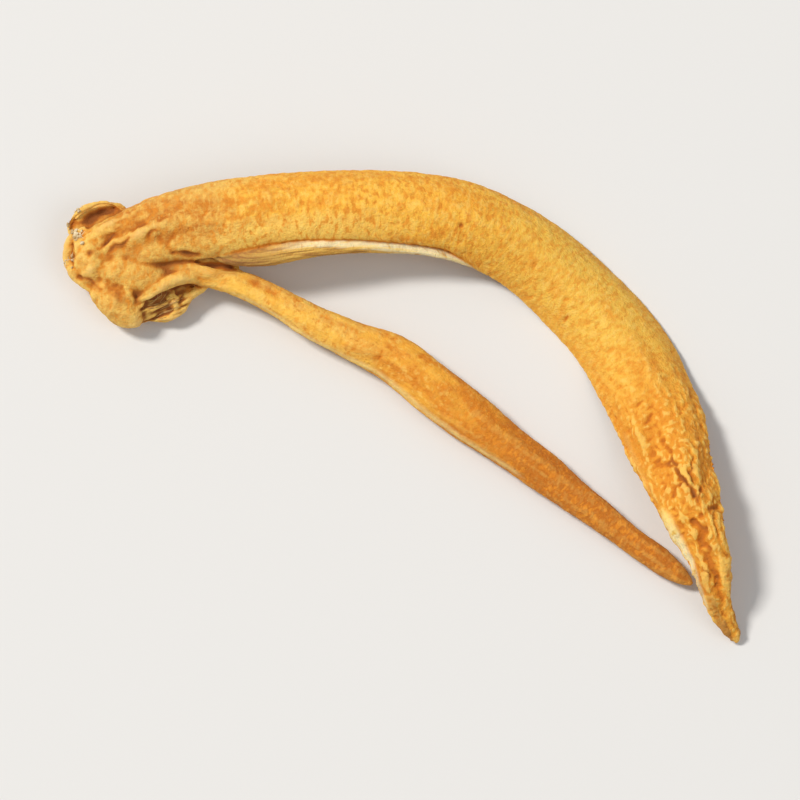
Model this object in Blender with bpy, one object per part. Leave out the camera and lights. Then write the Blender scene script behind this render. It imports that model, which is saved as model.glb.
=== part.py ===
"""A dried cordyceps: a broad flattened club and a slender one that grew from one crumpled foot.

It lies on a flat surface. Units are metres, +Z is up, +X runs from the foot towards the tips, and the
origin is on the surface, under the middle of the whole.
"""

import math

import bmesh
import bpy
import numpy as np
from mathutils import Matrix, Vector, noise

MM = 0.001
SURFACE = 0.0

# Pieces that part at a fork keep this gap
FORK_GAP = 0.35 * MM

# The broad club's middle line, from the end of the foot to the tip: x, y and z in mm
BROAD_ROUTE = [
    (-23.2, 10.6, 2.2),
    (-20.6, 11.1, 2.5),
    (-17.6, 12.2, 3.1),
    (-14.3, 12.9, 3.8),
    (-10.6, 13.4, 4.3),
    (-5.6, 13.75, 4.6),
    (-0.5, 13.75, 4.4),
    (4.1, 13.2, 3.8),
    (8.2, 11.65, 2.6),
    (12.1, 8.6, 1.65),
    (15.6, 4.5, 1.5),
    (17.75, -0.2, 2.3),
    (19.3, -5.3, 3.5),
    (20.5, -9.0, 3.9),
    (21.3, -12.0, 3.5),
    (22.2, -14.8, 2.1),
    (23.6, -17.5, 0.15),
]
# Its section at distances in mm from the end of the foot: the distance, half the width, the back's
# height over the middle line, the belly's depth below it, how far the edges hang down, and the bank
# in degrees, which is positive where the outer edge is the higher one
BROAD_FORM = [
    (0.0, 1.5, 1.2, 1.4, 0.0, 0.0),
    (3.0, 2.2, 1.6, 1.7, 0.1, 0.0),
    (6.0, 2.6, 1.7, 1.5, 0.3, -2.0),
    (10.0, 2.85, 1.45, 1.0, 0.7, -6.0),
    (16.0, 3.05, 1.2, 0.6, 1.1, -8.0),
    (26.0, 3.1, 1.1, 0.45, 1.4, -4.0),
    (33.0, 3.0, 1.1, 0.4, 1.5, -1.0),
    (40.0, 3.15, 1.1, 0.4, 1.5, 0.0),
    (47.0, 3.3, 1.05, 0.4, 1.3, 0.0),
    (52.0, 2.9, 1.0, 0.45, 1.0, 4.0),
    (57.0, 2.2, 0.9, 0.5, 0.7, 8.0),
    (61.0, 1.5, 0.65, 0.45, 0.4, 10.0),
    (64.5, 0.85, 0.4, 0.3, 0.1, 5.0),
    (67.2, 0.3, 0.2, 0.25, 0.0, 0.0),
]
# Furrows: where one starts and ends along the club, where it then lies across it from -1 at the inner
# edge to 1 at the outer one, its half width as a share of the club's, and its depth in mm
BROAD_FURROWS = [
    (0.5, 14.0, 0.3, 0.1, 0.14, 0.45),
    (2.0, 12.0, -0.35, -0.55, 0.14, 0.4),
    (47.0, 66.0, 0.0, -0.1, 0.16, 0.35),
    (49.5, 62.0, 0.7, -0.2, 0.13, 0.3),
    (50.5, 65.0, -0.6, 0.4, 0.13, 0.3),
]
# Along this stretch the back's edge stands in from the rolled lip of the belly: start, end and step in mm
BROAD_LIP = (8.0, 36.0, 0.75)
# Round the section, in radians from the outer edge: where the back's edge stands in, where the lip
# bulges out below it and where it hangs, each with its reach and its share of the step
BACK_EDGE = (math.pi - 0.05, 0.3, 1.0)
LIP_BULGE = (math.pi + 0.55, 0.25, 0.5)
LIP_HANG = (math.pi + 0.4, 0.35, 0.5)
# How softly a furrow and the lip start and end, in mm
FURROW_FADE = 2.0
LIP_FADE = 6.0

# The slender club, from inside the foot to its tip under the broad one's
SLENDER_ROUTE = [
    (-17.5, 9.7, 2.2),
    (-14.1, 9.1, 2.2),
    (-11.6, 8.5, 2.1),
    (-9.2, 7.4, 2.0),
    (-6.5, 5.8, 1.9),
    (-3.7, 4.5, 1.8),
    (-0.7, 3.15, 1.7),
    (2.4, 0.7, 1.6),
    (5.1, -1.45, 1.5),
    (7.8, -3.45, 1.35),
    (10.5, -5.5, 1.2),
    (13.6, -8.0, 1.1),
    (16.7, -10.4, 1.0),
    (19.2, -12.25, 0.9),
    (20.7, -13.4, 0.8),
]
SLENDER_FORM = [
    (0.0, 0.85, 0.75, 0.8, 0.0, 0.0),
    (3.5, 0.8, 0.7, 0.75, 0.0, 0.0),
    (6.0, 0.95, 0.75, 0.75, 0.0, 5.0),
    (10.0, 1.08, 0.9, 0.85, 0.1, 12.0),
    (14.5, 1.4, 1.0, 0.95, 0.2, 15.0),
    (18.5, 1.7, 1.15, 1.1, 0.25, 15.0),
    (22.5, 1.82, 1.2, 1.25, 0.25, 12.0),
    (28.0, 1.6, 1.1, 1.3, 0.2, 8.0),
    (34.0, 1.25, 0.95, 1.2, 0.15, 5.0),
    (39.0, 1.0, 0.8, 1.0, 0.1, 0.0),
    (43.0, 0.75, 0.55, 0.8, 0.0, 0.0),
    (44.8, 0.3, 0.25, 0.4, 0.0, 0.0),
]
SLENDER_FURROWS = [
    (5.0, 26.0, 0.4, 0.1, 0.3, 0.28),
    (14.0, 42.0, -0.4, 0.0, 0.25, 0.3),
]

# How far along its own route each club is parted from the foot, in mm
BROAD_FORK = 12.2
SLENDER_FORK = 6.6
# How far past a fork the foot is cleared away, and how far out from the club, in mm
FORK_ROOM = 5.0
FORK_SWELL = 1.2
# How far past a fork the foot's own solids run before they are cut off there, in mm
FOOT_PAST_FORK = 1.0

# Lumps of the foot: middle and half sizes in mm, then the turn seen from above in degrees
FOOT_LUMPS = [
    ((-19.6, 9.4, 1.75), (3.6, 1.9, 2.0), -12.0),
    ((-22.2, 10.4, 1.9), (1.4, 2.2, 1.95), 10.0),
    ((-20.6, 7.9, 1.4), (2.9, 1.5, 1.7), -52.0),
    ((-18.6, 7.0, 1.0), (1.6, 1.0, 1.15), 20.0),
    ((-16.9, 7.8, 0.9), (2.3, 1.0, 1.1), 30.0),
    ((-14.2, 10.4, 2.5), (3.2, 0.9, 0.9), -8.0),
    ((-22.0, 13.2, 1.9), (2.0, 0.8, 0.7), 12.0),
]
# Rolled edges and folds of the foot's skin: the points of each in mm, then its radius
FOOT_ROLLS = [
    ([(-19.3, 6.2, 1.7), (-18.3, 7.5, 2.6), (-17.0, 8.7, 3.0), (-15.5, 9.4, 2.8), (-13.6, 9.2, 2.4)], 0.6),
    ([(-19.0, 6.1, 1.0), (-17.6, 6.4, 0.8), (-16.3, 6.7, 1.0), (-15.3, 7.8, 1.3), (-14.0, 8.6, 1.7)], 0.5),
    ([(-17.2, 8.4, 2.2), (-16.8, 7.6, 1.9), (-16.4, 6.9, 1.2)], 0.45),
    (
        [
            (-22.4, 12.4, 3.1),
            (-23.5, 11.8, 2.9),
            (-23.8, 10.8, 2.4),
            (-23.5, 9.7, 2.0),
            (-22.3, 8.6, 1.7),
            (-20.8, 7.2, 1.5),
            (-19.3, 6.1, 1.4),
        ],
        0.55,
    ),
    ([(-19.9, 13.7, 2.6), (-21.2, 14.3, 2.9), (-23.0, 13.9, 3.0), (-23.8, 12.9, 2.6)], 0.5),
]
# A roll is thinner at its ends: the thickness there as a share, and where it has its full thickness
ROLL_END = 0.5
ROLL_SHOULDERS = (0.3, 0.7)
# The skin over the foot's solids: the size of its facets in mm, and how it is smoothed
FOOT_GRAIN = 0.45
FOOT_SMOOTHING = 2
FOOT_SOFTNESS = 0.5

# The shrivelled skin: how long and how wide its folds are and how high, in mm
FOOT_FOLD = (3.0, 1.0, 0.6)
CLUB_FOLD = (4.5, 1.3, 0.6)
# The share of a fold's height that also pushes the edges out
EDGE_SHARE = 0.5
# How shrivelled each club is along its length: distance in mm, share
BROAD_SHRIVEL = [(0.0, 1.0), (9.0, 0.8), (15.0, 0.3), (30.0, 0.15), (46.0, 0.3), (53.0, 1.0), (68.0, 0.6)]
SLENDER_SHRIVEL = [(0.0, 0.5), (8.0, 0.3), (20.0, 0.45), (36.0, 0.6), (45.0, 0.3)]

# The spacing of the rings in mm, and their corners. An outline is worked out finely first.
BROAD_STEP = 0.85
BROAD_SIDES = 24
SLENDER_STEP = 0.95
SLENDER_SIDES = 16
ROLL_STEP = 0.5
ROLL_SIDES = 12
FORK_STEP = 0.6
FINE_SIDES = 240
LUMP_ROUNDNESS = 3
# The direction of a route is read between the points this far behind and ahead, in mm
LOOK_AHEAD = 0.05
# An edge sharper than this isn't shaded smooth, in degrees
SHARP_EDGE = 50
# What lies below the surface: its length, width and depth in mm
BELOW = (80.0, 80.0, 10.0)

AMBER = (0.72, 0.34, 0.07, 1.0)
ORANGE = (0.66, 0.27, 0.05, 1.0)
TAN = (0.62, 0.36, 0.13, 1.0)
DRY_ROUGHNESS = 0.75


def smooth(table, at):
    """The values that a cubic through the table's rows takes at these distances; column 0 is the distance."""
    rows = np.array(table, float)
    x, y = rows[:, 0], rows[:, 1:]
    at = np.asarray(at, float)
    slope = np.gradient(y, x, axis=0)
    i = np.clip(np.searchsorted(x, at, side="right") - 1, 0, len(x) - 2)
    h = (x[i + 1] - x[i])[..., None]
    t = (at[..., None] - x[i][..., None]) / h
    near = (1 + 2 * t) * (1 - t) ** 2 * y[i] + t * (1 - t) ** 2 * h * slope[i]
    far = t**2 * (3 - 2 * t) * y[i + 1] + t**2 * (t - 1) * h * slope[i + 1]
    return near + far


def measured(route):
    """The route's points with the distance from the first one in front of each."""
    points = np.array(route, float)
    steps = np.linalg.norm(np.diff(points, axis=0), axis=1)
    return np.column_stack([np.concatenate([[0], np.cumsum(steps)]), points])


def hump(x, middle, reach):
    """1 at the middle, falling smoothly to nothing past the reach."""
    return np.exp(-(((x - middle) / reach) ** 2))


def fade(s, start, end, over):
    """1 between start and end, with soft ends."""
    rise = np.clip((s - start) / over, 0, 1)
    fall = np.clip((end - s) / over, 0, 1)
    return rise * rise * (3 - 2 * rise) * fall * fall * (3 - 2 * fall)


def bulge(a, place):
    middle, reach, share = place
    return share * hump(a, middle, reach)


def section(shape, s, sides, swell):
    """The club's outline at s, as (across, up) points in mm, evenly spaced, starting at the outer edge."""
    half, back, belly, hang, _ = smooth(shape["form"], s)
    half, back, belly = half + swell, back + swell, belly + swell
    a = np.linspace(0, 2 * math.pi, FINE_SIDES, endpoint=False)
    across, rise = np.cos(a), np.sin(a)
    y = half * across
    z = np.where(rise > 0, back, belly) * rise - hang * across**2
    for start, end, first, last, reach, depth in shape["furrows"]:
        place = np.interp(s, [start, end], [first, last])
        furrow = depth * fade(s, start, end, FURROW_FADE) * hump(across, place, reach)
        z -= furrow * np.clip(rise, 0, 1)
    if shape["lip"]:
        start, end, step = shape["lip"]
        step *= fade(s, start, end, LIP_FADE)
        y += step * bulge(a, BACK_EDGE) - step * bulge(a, LIP_BULGE)
        z -= step * bulge(a, LIP_HANG)
    length, width, height = CLUB_FOLD
    height *= smooth(shape["shrivel"], s)[0]
    for k in range(FINE_SIDES):
        fold = height * noise.noise(Vector((s / length, y[k] / width, z[k] / width + shape["seed"])))
        y[k] += EDGE_SHARE * fold * across[k]
        z[k] += fold * rise[k]
    loop = np.column_stack([np.append(y, y[0]), np.append(z, z[0])])
    run = np.concatenate([[0], np.cumsum(np.linalg.norm(np.diff(loop, axis=0), axis=1))])
    even = np.linspace(0, run[-1], sides, endpoint=False)
    return np.column_stack([np.interp(even, run, loop[:, 0]), np.interp(even, run, loop[:, 1])])


def ring(shape, s, outline):
    """The outline's points where the route is at s, turned to face along it and banked, in metres."""
    table = measured(shape["route"])
    here = Vector(smooth(table, s))
    ahead = Vector(smooth(table, s + LOOK_AHEAD) - smooth(table, s - LOOK_AHEAD)).normalized()
    side = Vector((0, 0, 1)).cross(ahead).normalized()
    up = ahead.cross(side)
    bank = math.radians(smooth(shape["form"], s)[4])
    side, up = side * math.cos(bank) + up * math.sin(bank), up * math.cos(bank) - side * math.sin(bank)
    return [(here + side * float(y) + up * float(z)) * MM for y, z in outline]


def loft(bm, shape, start, end, step, swell=0.0):
    """Adds a club, closed at both ends, between two distances along its route."""
    sides = shape["sides"]
    rings = []
    for s in np.linspace(start, end, round((end - start) / step) + 1):
        rings.append([bm.verts.new(point) for point in ring(shape, s, section(shape, s, sides, swell))])
    for near, far in zip(rings, rings[1:]):
        for k in range(sides):
            after = (k + 1) % sides
            bm.faces.new((near[k], far[k], far[after], near[after]))
    bm.faces.new(rings[0])
    bm.faces.new(rings[-1][::-1])


def named_object(name, bm, colour, smooth_shaded=True):
    """The object of a mesh, with a dry skin of the colour."""
    bmesh.ops.recalc_face_normals(bm, faces=bm.faces)
    mesh = bpy.data.meshes.new(name)
    bm.to_mesh(mesh)
    bm.free()
    if smooth_shaded:
        mesh.shade_smooth()
        mesh.set_sharp_from_angle(angle=math.radians(SHARP_EDGE))
    material = bpy.data.materials.new(name)
    material.use_nodes = True
    shader = material.node_tree.nodes["Principled BSDF"]
    shader.inputs["Base Color"].default_value = colour
    shader.inputs["Roughness"].default_value = DRY_ROUGHNESS
    shader.inputs["Metallic"].default_value = 0.0
    mesh.materials.append(material)
    obj = bpy.data.objects.new(name, mesh)
    bpy.context.scene.collection.objects.link(obj)
    return obj


def cutter(name, bm):
    obj = named_object(name, bm, TAN, smooth_shaded=False)
    obj.hide_render = True
    obj.display_type = "WIRE"
    return obj


def cut(obj, tool):
    boolean = obj.modifiers.new("less " + tool.name, "BOOLEAN")
    boolean.operation = "DIFFERENCE"
    boolean.solver = "EXACT"
    boolean.object = tool


def club(name, shape, fork, step, colour):
    """A club from just past its fork to its tip."""
    bm = bmesh.new()
    loft(bm, shape, fork + FORK_GAP / MM, shape["form"][-1][0], step)
    return named_object(name, bm, colour)


def lump(bm, middle, half_sizes, turn):
    """A rounded lump, with its middle and half sizes in mm."""
    made = bmesh.ops.create_icosphere(bm, subdivisions=LUMP_ROUNDNESS, radius=1.0)["verts"]
    bmesh.ops.scale(bm, verts=made, vec=Vector(half_sizes) * MM)
    bmesh.ops.rotate(bm, verts=made, matrix=Matrix.Rotation(math.radians(turn), 3, "Z"))
    bmesh.ops.translate(bm, verts=made, vec=Vector(middle) * MM)


def roll(bm, points, radius):
    """A roll of skin that thins out at both ends."""
    length = measured(points)[-1][0]
    thin = ROLL_END * radius
    first, last = ROLL_SHOULDERS
    form = [
        (0.0, thin, thin, thin, 0.0, 0.0),
        (first * length, radius, radius, radius, 0.0, 0.0),
        (last * length, radius, radius, radius, 0.0, 0.0),
        (length, thin, thin, thin, 0.0, 0.0),
    ]
    shape = {
        "route": points,
        "form": form,
        "furrows": [],
        "lip": None,
        "shrivel": [(0.0, 0.0), (length, 0.0)],
        "sides": ROLL_SIDES,
        "seed": 0.0,
    }
    loft(bm, shape, 0.0, length, ROLL_STEP)


def foot():
    """The crumpled base that both clubs grew from."""
    bm = bmesh.new()
    loft(bm, BROAD, 0.0, BROAD_FORK + FOOT_PAST_FORK, FORK_STEP)
    loft(bm, SLENDER, 0.0, SLENDER_FORK + FOOT_PAST_FORK, FORK_STEP)
    for middle, half_sizes, turn in FOOT_LUMPS:
        lump(bm, middle, half_sizes, turn)
    for points, radius in FOOT_ROLLS:
        roll(bm, points, radius)
    obj = named_object("foot", bm, TAN)
    skin = obj.modifiers.new("skin", "REMESH")
    skin.mode = "VOXEL"
    skin.voxel_size = FOOT_GRAIN * MM
    skin.use_smooth_shade = True
    settle = obj.modifiers.new("settle", "SMOOTH")
    settle.factor = FOOT_SOFTNESS
    settle.iterations = FOOT_SMOOTHING
    length, width, height = FOOT_FOLD
    grain = bpy.data.objects.new("fold direction", None)
    grain.scale = (length / width, 1, 1)
    bpy.context.scene.collection.objects.link(grain)
    folds = bpy.data.textures.new("folds", "CLOUDS")
    folds.noise_scale = width * MM
    folds.noise_depth = 1
    crumple = obj.modifiers.new("crumple", "DISPLACE")
    crumple.texture = folds
    crumple.texture_coords = "OBJECT"
    crumple.texture_coords_object = grain
    crumple.strength = height * MM
    crumple.mid_level = 0.5
    return obj


def surface_cutter():
    """What lies below the surface that the whole rests on."""
    bm = bmesh.new()
    bmesh.ops.create_cube(bm, size=1.0)
    bmesh.ops.scale(bm, verts=bm.verts, vec=Vector(BELOW) * MM)
    bmesh.ops.translate(bm, verts=bm.verts, vec=(0, 0, SURFACE - BELOW[2] / 2 * MM))
    return cutter("surface", bm)


def fork_cutter(name, shape, fork):
    """The room that a club and what lies close round it take up past its fork."""
    bm = bmesh.new()
    loft(bm, shape, fork, fork + FORK_ROOM, FORK_STEP, swell=FORK_SWELL)
    return cutter(name, bm)


BROAD = {
    "route": BROAD_ROUTE,
    "form": BROAD_FORM,
    "furrows": BROAD_FURROWS,
    "lip": BROAD_LIP,
    "shrivel": BROAD_SHRIVEL,
    "sides": BROAD_SIDES,
    "seed": 3.0,
}
SLENDER = {
    "route": SLENDER_ROUTE,
    "form": SLENDER_FORM,
    "furrows": SLENDER_FURROWS,
    "lip": None,
    "shrivel": SLENDER_SHRIVEL,
    "sides": SLENDER_SIDES,
    "seed": 11.0,
}


def main():
    for obj in list(bpy.data.objects):
        bpy.data.objects.remove(obj)
    broad = club("broad_club", BROAD, BROAD_FORK, BROAD_STEP, AMBER)
    slender = club("slender_club", SLENDER, SLENDER_FORK, SLENDER_STEP, ORANGE)
    base = foot()
    cut(base, fork_cutter("broad room", BROAD, BROAD_FORK))
    cut(base, fork_cutter("slender room", SLENDER, SLENDER_FORK))
    below = surface_cutter()
    for obj in (base, broad, slender):
        cut(obj, below)


main()
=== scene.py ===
import math

import bmesh
import bpy
import numpy as np
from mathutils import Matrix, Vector, noise


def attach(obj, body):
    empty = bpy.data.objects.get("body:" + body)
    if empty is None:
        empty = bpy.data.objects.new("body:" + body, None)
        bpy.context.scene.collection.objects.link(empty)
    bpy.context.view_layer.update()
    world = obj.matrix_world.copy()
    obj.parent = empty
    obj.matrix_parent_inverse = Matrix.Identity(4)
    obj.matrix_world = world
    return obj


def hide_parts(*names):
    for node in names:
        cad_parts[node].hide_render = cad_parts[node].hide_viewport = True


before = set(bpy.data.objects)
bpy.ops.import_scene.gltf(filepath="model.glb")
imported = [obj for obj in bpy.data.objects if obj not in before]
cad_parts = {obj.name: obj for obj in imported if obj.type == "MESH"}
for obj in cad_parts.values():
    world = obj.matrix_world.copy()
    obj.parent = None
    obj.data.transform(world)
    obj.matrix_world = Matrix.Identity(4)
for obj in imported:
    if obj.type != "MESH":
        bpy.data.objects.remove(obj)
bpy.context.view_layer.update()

# Broad club
# The larger of two fruiting bodies: a flattened sheath of tough flesh that dried with its edges drawn
# down and its tip creased. It grew out of the foot, so it is drawn out from inside the foot's flesh,
# ring by ring, in millimetres, which are brought to metres when the whole skin is done.

# The middle line from the end of the foot to the tip: x, y and z
BROAD_ROUTE = [
    (-23.2, 10.6, 2.2),
    (-20.6, 11.1, 2.5),
    (-17.6, 12.2, 3.1),
    (-14.3, 12.9, 3.8),
    (-10.6, 13.4, 4.3),
    (-5.6, 13.75, 4.6),
    (-0.5, 13.75, 4.4),
    (4.1, 13.2, 3.8),
    (8.2, 11.65, 2.6),
    (12.1, 8.6, 1.65),
    (15.6, 4.5, 1.5),
    (17.75, -0.2, 2.3),
    (19.3, -5.3, 3.5),
    (20.5, -9.0, 3.9),
    (21.3, -12.0, 3.5),
    (22.2, -14.8, 2.1),
    (23.6, -17.5, 0.15),
]
# Along it: distance, half the width, the back's height over the middle line, the belly's depth below
# it, how far the edges hang, and the bank in degrees
BROAD_FORM = [
    (0.0, 1.5, 1.2, 1.4, 0.0, 0.0),
    (3.0, 2.2, 1.6, 1.7, 0.1, 0.0),
    (6.0, 2.6, 1.7, 1.5, 0.3, -2.0),
    (10.0, 2.85, 1.45, 1.0, 0.7, -6.0),
    (16.0, 3.05, 1.2, 0.6, 1.1, -8.0),
    (26.0, 3.1, 1.1, 0.45, 1.4, -4.0),
    (33.0, 3.0, 1.1, 0.4, 1.5, -1.0),
    (40.0, 3.15, 1.1, 0.4, 1.5, 0.0),
    (47.0, 3.3, 1.05, 0.4, 1.3, 0.0),
    (52.0, 2.9, 1.0, 0.45, 1.0, 4.0),
    (57.0, 2.2, 0.9, 0.5, 0.7, 8.0),
    (61.0, 1.5, 0.65, 0.45, 0.4, 10.0),
    (64.5, 0.85, 0.4, 0.3, 0.1, 5.0),
    (66.5, 0.5, 0.28, 0.28, 0.0, 0.0),
    (67.2, 0.12, 0.08, 0.12, 0.0, 0.0),
]
# Furrows: start, end, place across at each from -1 to 1, half width as a share, and depth
BROAD_FURROWS = [
    (0.5, 14.0, 0.3, 0.1, 0.2, 0.3),
    (2.0, 12.0, -0.35, -0.55, 0.2, 0.28),
    (47.0, 66.0, 0.0, -0.1, 0.25, 0.1),
    (49.5, 62.0, 0.7, -0.2, 0.16, 0.14),
    (50.5, 65.0, -0.6, 0.4, 0.16, 0.14),
]
# Where the inner edge is bleached: start, end, how much, and how far up the back it lies in radians
BROAD_MARGINS = [(48.0, 57.0, 0.5, 0.4), (55.0, 65.0, 1.0, 0.5)]
# Here the back's inner edge stands in from the belly's rolled lip: start, end and step
BROAD_LIP = (11.5, 31.0, 0.95)
# The lip itself: distance, how far across it lies as a share of the half width, how far down as a share
# of how far the edges hang, and its radius
LIP_ROLL = [
    (9.2, 0.75, 1.2, 0.2),
    (10.3, 0.96, 1.4, 0.4),
    (11.5, 1.05, 1.25, 0.57),
    (13.2, 1.09, 1.05, 0.7),
    (15.5, 1.02, 0.95, 0.71),
    (19.0, 0.935, 0.95, 0.58),
    (23.7, 0.88, 0.95, 0.44),
    (26.5, 0.9, 0.95, 0.36),
    (28.5, 0.92, 0.95, 0.26),
    (30.8, 0.94, 0.95, 0.12),
]
# How shrivelled it is along its length: distance and share
BROAD_SHRIVEL = [
    (0.0, 0.9),
    (5.0, 0.7),
    (9.0, 0.35),
    (15.0, 0.2),
    (30.0, 0.15),
    (46.0, 0.3),
    (53.0, 1.0),
    (68.0, 0.7),
]
BROAD_SEED = 3.0
LIP_SEED = 5.0
LIP_SHRIVEL = 0.3
# Where the lip's start lies as the broad club's straight places run
LIP_START = (9.2, -2.6, -1.2)
# How long, how wide and how high the folds of a shrivelled skin are, and what share of that height they
# move it sideways
CLUB_FOLD = (4.5, 1.3, 0.6)
CLUB_FOLD_SIDEWAYS = 0.5
# How pale a belly is, and how far round a bleached edge reaches in radians
BELLY_PALE = 0.5
MARGIN_REACH = 0.35
# How far up the inner edge the step above the lip lies and how far it reaches, both in radians, and the
# distance over which it comes and goes
LIP_UP = 0.05
LIP_REACH = 0.3
LIP_FADE = 5.0
# An outline has this many points before they are spaced evenly, and the rings of each body have fewer
FINE_SIDES = 240
BROAD_SIDES = 96
LIP_SIDES = 20
# How far apart the rings are, and how far before and behind a ring its way is read
CLUB_STEP = 0.4
LOOK_AHEAD = 0.05


def deselect_all():
    """Clears the selection, because an operator works on all that is selected."""
    for other in bpy.context.selected_objects:
        other.select_set(False)


def smooth(table, at):
    """The values that a cubic through the table's rows takes at these distances."""
    rows = np.array(table, float)
    x, y = rows[:, 0], rows[:, 1:]
    at = np.asarray(at, float)
    slope = np.gradient(y, x, axis=0)
    i = np.clip(np.searchsorted(x, at, side="right") - 1, 0, len(x) - 2)
    h = (x[i + 1] - x[i])[..., None]
    t = (at[..., None] - x[i][..., None]) / h
    near = (1 + 2 * t) * (1 - t) ** 2 * y[i] + t * (1 - t) ** 2 * h * slope[i]
    far = t**2 * (3 - 2 * t) * y[i + 1] + t**2 * (t - 1) * h * slope[i + 1]
    return near + far


def measured(route):
    """The route's points with the distance from the first one in front of each."""
    points = np.array(route, float)
    steps = np.linalg.norm(np.diff(points, axis=0), axis=1)
    return np.column_stack([np.concatenate([[0], np.cumsum(steps)]), points])


def hump(x, middle, reach):
    """1 at the middle, falling smoothly to nothing past the reach."""
    return np.exp(-(((x - middle) / reach) ** 2))


def fade(s, start, end, over=2.0):
    """1 between start and end, with soft ends."""
    rise = np.clip((s - start) / over, 0, 1)
    fall = np.clip((end - s) / over, 0, 1)
    return rise * rise * (3 - 2 * rise) * fall * fall * (3 - 2 * fall)


def outline(shape, s, sides):
    """The body's outline at s: across, up and how pale the skin is there, starting at the outer edge."""
    half, back, belly, hang, _ = smooth(shape["form"], s)
    a = np.linspace(0, 2 * math.pi, FINE_SIDES, endpoint=False)
    across, rise = np.cos(a), np.sin(a)
    y = half * across
    z = np.where(rise > 0, back, belly) * rise - hang * across**2
    for start, end, first, last, reach, depth in shape["furrows"]:
        place = np.interp(s, [start, end], [first, last])
        z -= depth * fade(s, start, end) * hump(across, place, reach) * np.clip(rise, 0, 1)
    # The belly pales from 0.3 of its depth down to 0.8 of it
    pale = np.maximum(shape["pale"], BELLY_PALE * np.clip(-rise * 2 - 0.6, 0, 1))
    for start, end, share, up in shape["margins"]:
        pale = np.maximum(pale, share * fade(s, start, end) * hump(a, math.pi - up, MARGIN_REACH))
    if shape["lip"]:
        start, end, step = shape["lip"]
        step *= fade(s, start, end, LIP_FADE)
        y += step * hump(a, math.pi - LIP_UP, LIP_REACH)
    length, width, height = CLUB_FOLD
    height *= smooth(shape["shrivel"], s)[0]
    for k in range(FINE_SIDES):
        fold = height * noise.noise(Vector((s / length, y[k] / width, z[k] / width + shape["seed"])))
        y[k] += CLUB_FOLD_SIDEWAYS * fold * across[k]
        z[k] += fold * rise[k]
    loop = np.column_stack([np.append(v, v[0]) for v in (y, z, pale)])
    run = np.concatenate([[0], np.cumsum(np.linalg.norm(np.diff(loop[:, :2], axis=0), axis=1))])
    even = np.linspace(0, run[-1], sides, endpoint=False)
    return np.column_stack([np.interp(even, run, loop[:, k]) for k in range(3)])


def facing(shape, s):
    """Where the middle line is at s, and its ways across and up."""
    table = measured(shape["route"])
    here = Vector(smooth(table, s))
    ahead = Vector(smooth(table, s + LOOK_AHEAD) - smooth(table, s - LOOK_AHEAD)).normalized()
    side = Vector((0, 0, 1)).cross(ahead).normalized()
    up = ahead.cross(side)
    bank = math.radians(smooth(shape["form"], s)[4])
    return here, side * math.cos(bank) + up * math.sin(bank), up * math.cos(bank) - side * math.sin(bank)


def grow(name, shape, step, sides):
    """Draws a body out along its route, one extruded ring after another, and closes its ends."""
    deselect_all()
    bpy.ops.mesh.primitive_circle_add(vertices=sides, radius=1.0)
    body = bpy.context.object
    body.name = name
    bpy.ops.object.mode_set(mode="EDIT")
    bpy.ops.mesh.select_all(action="SELECT")
    flesh = bmesh.from_edit_mesh(body.data)
    flesh.verts.layers.int.new("place")
    flesh.verts.layers.float_vector.new("straight")
    for kept in ("shrivel", "pale", "slender"):
        flesh.verts.layers.float.new(kept)
    for k, vertex in enumerate(flesh.verts):
        vertex[flesh.verts.layers.int["place"]] = k
    bmesh.update_edit_mesh(body.data)
    length = shape["form"][-1][0]
    for s in np.linspace(0, length, round(length / step) + 1):
        if s > 0:
            bpy.ops.mesh.extrude_region_move()
        here, side, up = facing(shape, s)
        ring = outline(shape, s, sides)
        shrivel = smooth(shape["shrivel"], s)[0]
        flesh = bmesh.from_edit_mesh(body.data)
        layers = flesh.verts.layers
        for vertex in flesh.verts:
            if vertex.select:
                y, z, pale = (float(v) for v in ring[vertex[layers.int["place"]]])
                vertex.co = here + side * y + up * z
                vertex[layers.float_vector["straight"]] = Vector((s, y, z)) + Vector(shape["start"])
                vertex[layers.float["shrivel"]] = shrivel
                vertex[layers.float["pale"]] = pale
                vertex[layers.float["slender"]] = shape["slender"]
        bmesh.update_edit_mesh(body.data)
    bpy.ops.mesh.select_all(action="DESELECT")
    bpy.ops.mesh.select_non_manifold()
    bpy.ops.mesh.fill_holes(sides=0)
    bpy.ops.mesh.select_all(action="SELECT")
    bpy.ops.mesh.normals_make_consistent(inside=False)
    bpy.ops.object.mode_set(mode="OBJECT")
    return body


def shaped(route, form, shrivel, seed, **more):
    """A body's shape, plain apart from what is given."""
    plain = {
        "furrows": [],
        "lip": None,
        "margins": [],
        "start": (0.0, 0.0, 0.0),
        "slender": 0.0,
        "pale": 0.0,
    }
    return {"route": route, "form": form, "shrivel": shrivel, "seed": seed, **plain, **more}


broad = shaped(
    BROAD_ROUTE,
    BROAD_FORM,
    BROAD_SHRIVEL,
    BROAD_SEED,
    furrows=BROAD_FURROWS,
    lip=BROAD_LIP,
    margins=BROAD_MARGINS,
)
broad_body = grow("broad body", broad, CLUB_STEP, BROAD_SIDES)


def lip_place(s, over, down):
    """A place on the lip's middle line, by shares across the broad club and down its hanging edge."""
    half, _, _, hang, _ = smooth(BROAD_FORM, s)
    here, side, up = facing(broad, s)
    return tuple(here - side * float(over * half) - up * float(down * hang))


lip_route = [lip_place(s, over, down) for s, over, down, _ in LIP_ROLL]
lip_run = measured(lip_route)[:, 0]
lip_form = [(run, radius, radius, radius, 0.0, 0.0) for run, (*_, radius) in zip(lip_run, LIP_ROLL)]
lip_shrivel = [(0.0, LIP_SHRIVEL), (lip_run[-1], LIP_SHRIVEL)]
lip = shaped(lip_route, lip_form, lip_shrivel, LIP_SEED, start=LIP_START, pale=1.0)
lip_body = grow("lip body", lip, CLUB_STEP, LIP_SIDES)

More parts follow.
